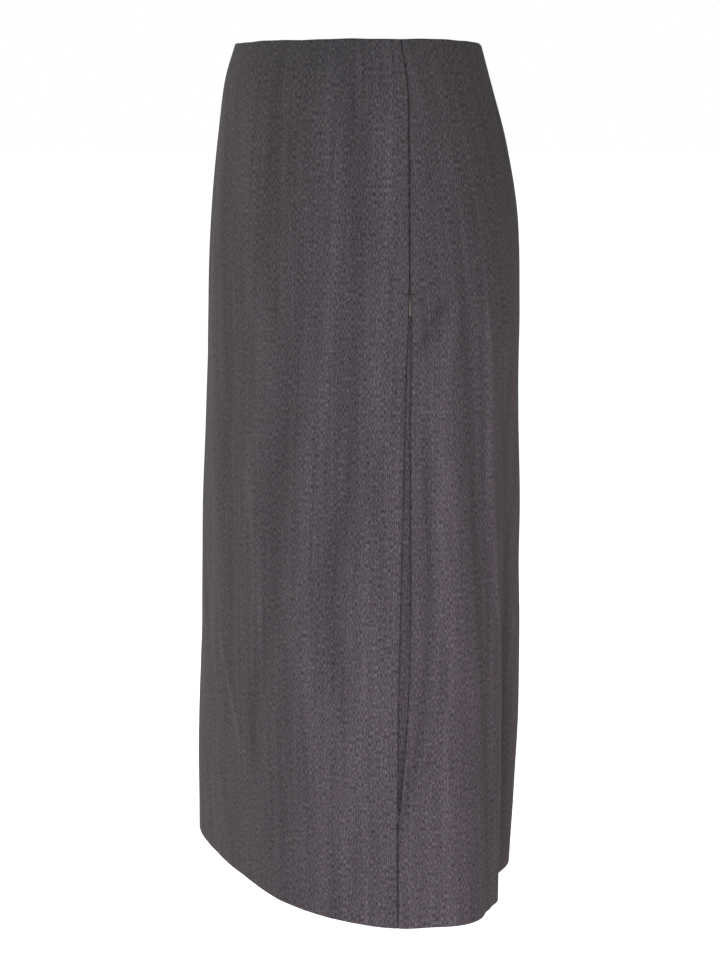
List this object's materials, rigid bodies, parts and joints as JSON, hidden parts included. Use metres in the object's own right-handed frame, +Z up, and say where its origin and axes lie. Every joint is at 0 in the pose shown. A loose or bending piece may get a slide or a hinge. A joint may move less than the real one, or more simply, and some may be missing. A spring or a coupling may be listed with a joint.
{
  "type": "pencil skirt",
  "caption": "Fitted pencil skirt that reaches just below the knee, filled out as worn, with a long narrow slit over an underlay in each side seam and a concealed zip at the centre back.",
  "frame": {"origin": "centre of the waist opening, at the level of the waist edge", "axes": "+Z up towards the wearer's head, -Y towards the wearer's front, +X towards the wearer's left"},
  "size_m": [0.3939, 0.2514, 0.7],
  "materials": {
    "cloth": "fine worsted wool, charcoal mauve-grey with a faint vertical streak and a soft sheen",
    "lining": "smooth pale beige-grey lining",
    "zip_metal": "satin dark grey enamel to match the cloth"
  },
  "bodies": {
    "skirt": {"front": "cloth", "back_left": "cloth", "back_right": "cloth", "slit_underlay_left": "cloth", "slit_underlay_right": "cloth", "slit_lining_left": "lining", "slit_lining_right": "lining", "zip_slider": "zip_metal"},
    "pull": {"zip_pull": "zip_metal"}
  },
  "joints": [
    {"name": "zip_pull_swing", "type": "hinge", "parent": "skirt", "child": "pull", "pos_m": [0, 0.10321, -0.02046], "axis": [1, 0, 0], "range_deg": [0, 160]}
  ]
}
